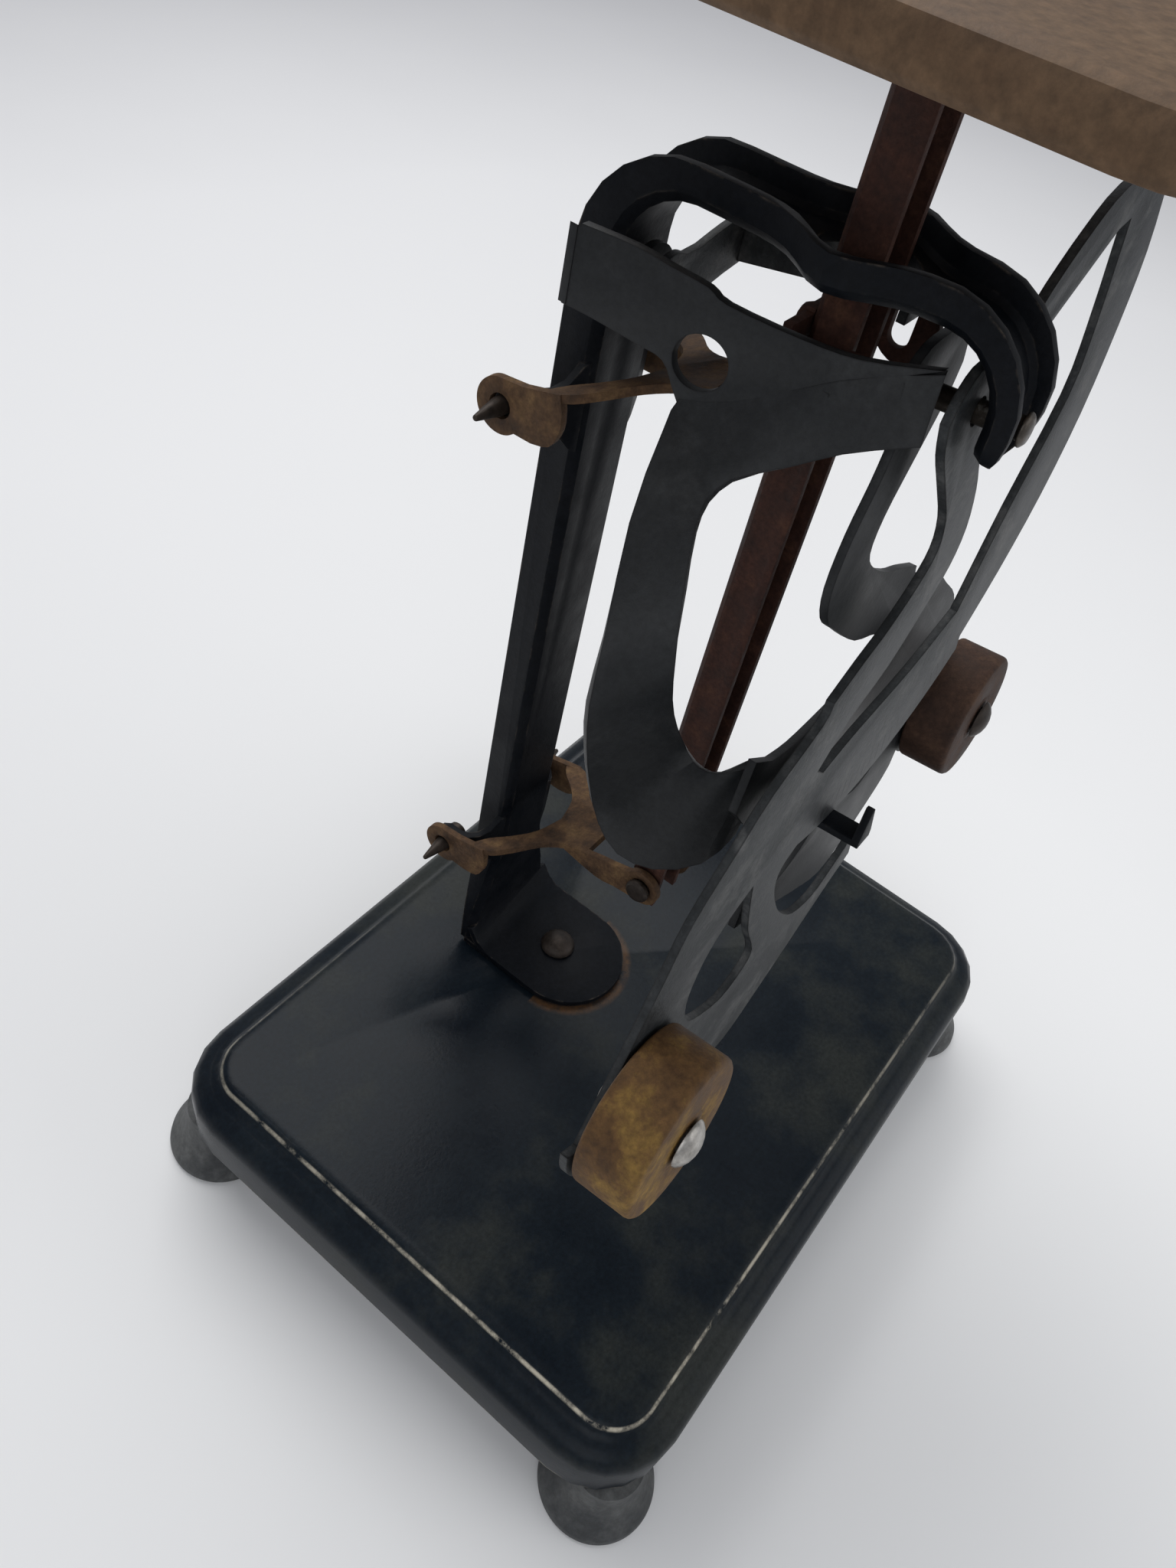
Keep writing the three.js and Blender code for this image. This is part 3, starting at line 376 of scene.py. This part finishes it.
def turned(node, profile, matrix, steps=STEPS):
    """A turned piece about its own Z axis, placed by matrix.

    profile holds radius and height pairs in millimetres, from the axis to the axis, or
    round to the first pair again for a piece with a bore.
    """
    closed = profile[0] == profile[-1]
    verts = []
    faces = []
    rings = []
    for radius, height in profile[:-1] if closed else profile:
        count = 1 if radius == 0 else steps
        rings.append(range(len(verts), len(verts) + count))
        for i in range(count):
            angle = 2 * math.pi * i / steps
            verts.append(Vector((radius * math.cos(angle), radius * math.sin(angle), height)))
    neighbours = list(zip(rings, rings[1:]))
    if closed:
        neighbours.append((rings[-1], rings[0]))
    for low, high in neighbours:
        for i in range(steps):
            j = (i + 1) % steps
            if len(low) == 1:
                faces.append((low[0], high[j], high[i]))
            elif len(high) == 1:
                faces.append((low[i], low[j], high[0]))
            else:
                faces.append((low[i], low[j], high[j], high[i]))
    mesh = bpy.data.meshes.new("look_" + node)
    mesh.from_pydata([(matrix @ v) * MM for v in verts], [], faces)
    mesh.validate()
    settle(shown("look_" + node, mesh), node, TURNED_BEVEL)
    turned_nodes.add(node)


def foot(node, x, y):
    """A flared foot with its stem."""
    profile = [
        (0, 0.02), (8.2, 0.02), (8.6, 0.3), (8.78, 0.8), (8.55, 1.9), (7.9, 2.9), (7.15, 4.1), (6.5, 5.3),
        (6, 6.6), (5.6, 8), (5.3, 9.5), (5.3, 11.6), (2.3, 11.6), (2.3, 20.3), (0, 20.3)]
    turned(node, profile, Matrix.Translation(Vector((x, y, 0))))


def weight(node, x, front):
    """A round weight with a bore, and the rivet that holds it on its sheet.

    front is how far behind the pivot the sheet's front face lies, in millimetres.
    """
    centre = Matrix.Translation(Vector((x, 0, -WEIGHT_DROP)))
    matrix = LEAN_MATRIX @ centre @ Matrix.Rotation(-math.pi / 2, 4, "X")
    face = front - WEIGHT_THICKNESS
    back = front - 0.4
    disc = [
        (1.8, face), (3.4, face), (3.6, face + 0.12), (3.9, face), (9.2, face), (9.6, face + 0.1),
        (9.9, face + 0.4), (10, face + 0.8), (10, back - 0.5), (9.9, back - 0.2), (9.5, back), (1.8, back),
        (1.8, face)]
    turned(node, disc, matrix, FINE_STEPS)
    head = face - 0.4
    rivet = [
        (0, head - 1.5), (0.9, head - 1.44), (1.7, head - 1.2), (2.4, head - 0.8), (2.85, head - 0.35),
        (3, head), (1.5, head), (1.5, front + 1.3), (2.6, front + 1.3), (2.2, front + 2.1), (0, front + 2.3)]
    turned(node + "_rivet", rivet, matrix)


turned_nodes = set()
for end, side_y in (("front", -1), ("rear", 1)):
    for side, side_x in (("left", -1), ("right", 1)):
        foot("foot_" + end + "_" + side, FOOT_X * side_x, FOOT_Y * side_y)
weight("left_weight", -WEIGHT_X, 0)
weight("right_weight", WEIGHT_X, 5)

for node in sorted(frame["nodes"]):
    if node not in turned_nodes:
        copied(node)

# ---------------------------------------------------------------- stage, light and camera

# The floor, in metres, with a painted pool of light round its bright spot.
FLOOR_HALF = 6
FLOOR_PAINTED_LIGHT_X = 0.08
FLOOR_PAINTED_LIGHT_Y = -0.04


def floor_with_painted_light():
    """A wide pale floor with a painted pool of light: it darkens slowly away from its bright spot, as painted
    shade.
    """
    mesh = bpy.data.meshes.new("floor")
    corners = [(-1, -1), (1, -1), (1, 1), (-1, 1)]
    mesh.from_pydata([(FLOOR_HALF * x, FLOOR_HALF * y, 0) for x, y in corners], [], [(0, 1, 2, 3)])
    floor = shown("floor", mesh)
    finish = Finish("floor_with_painted_light")
    x, y, _ = finish.place()
    off_x = finish.math("SUBTRACT", x, FLOOR_PAINTED_LIGHT_X)
    off_y = finish.math("SUBTRACT", y, FLOOR_PAINTED_LIGHT_Y)
    # Painted light: the floor's colour falls off with distance from the bright spot.
    painted_falloff = finish.math("MULTIPLY", finish.length(off_x, off_y), 1.4)
    uneven = finish.math("MULTIPLY", finish.noise(9, 3, 0.5), 0.06)
    painted_light_tones = [(0.1, (0.93, 0.93, 0.925)), (0.55, (0.78, 0.78, 0.785)), (0.95, (0.5, 0.5, 0.515))]
    tone = finish.ramp(finish.math("ADD", painted_falloff, uneven), painted_light_tones)
    finish.links.new(tone, finish.shader.inputs["Base Color"])
    finish.shader.inputs["Roughness"].default_value = 0.85
    mesh.materials.append(finish.material)


def area(name, place, target, size, power, colour=(1, 1, 1)):
    """A rectangular lamp at place that shines on target."""
    light = bpy.data.lights.new(name, "AREA")
    light.shape = "RECTANGLE"
    light.size, light.size_y = size
    light.energy = power
    light.color = colour
    obj = shown(name, light)
    obj.location = place
    obj.rotation_euler = (Vector(target) - Vector(place)).to_track_quat("-Z", "Y").to_euler()


floor_with_painted_light()
area("key", (0.25, 0.45, 0.9), (0, 0, 0.05), (0.8, 0.7), 5.7)
area("side", (-0.7, -0.35, 0.6), (0, 0, 0.08), (0.6, 0.6), 1.4, (0.95, 0.97, 1))
area("front", (0.4, -0.8, 0.5), (0, 0, 0.08), (0.6, 0.6), 1.3)

world = bpy.data.worlds.new("studio")
world.use_nodes = True
world.node_tree.nodes["Background"].inputs["Color"].default_value = (0.93, 0.95, 1, 1)
world.node_tree.nodes["Background"].inputs["Strength"].default_value = 0.42

# The camera stands above the left side and looks down across the base, with its right side raised a little.
CAMERA_PLACE = Vector((-0.10724707, -0.03742158, 0.19707539))
CAMERA_FORWARD = Vector((0.6054425, 0.30791203, -0.73391386))
CAMERA_RIGHT = Vector((0.60322925, -0.77895489, 0.17082529))
# Its sensor and lens are in millimetres.
CAMERA_SENSOR_HEIGHT = 24
CAMERA_LENS = 18.234375

camera_data = bpy.data.cameras.new("camera")
camera_data.sensor_fit = "VERTICAL"
camera_data.sensor_height = CAMERA_SENSOR_HEIGHT
camera_data.lens = CAMERA_LENS
camera_data.clip_start = 0.002
camera = shown("camera", camera_data)
up = CAMERA_RIGHT.normalized().cross(CAMERA_FORWARD).normalized()
right = CAMERA_FORWARD.cross(up).normalized()
turn = Matrix((right, up, -CAMERA_FORWARD)).transposed().to_4x4()
camera.matrix_world = Matrix.Translation(CAMERA_PLACE) @ turn

scene = bpy.context.scene
scene.world = world
scene.camera = camera
scene.view_settings.view_transform = "Standard"
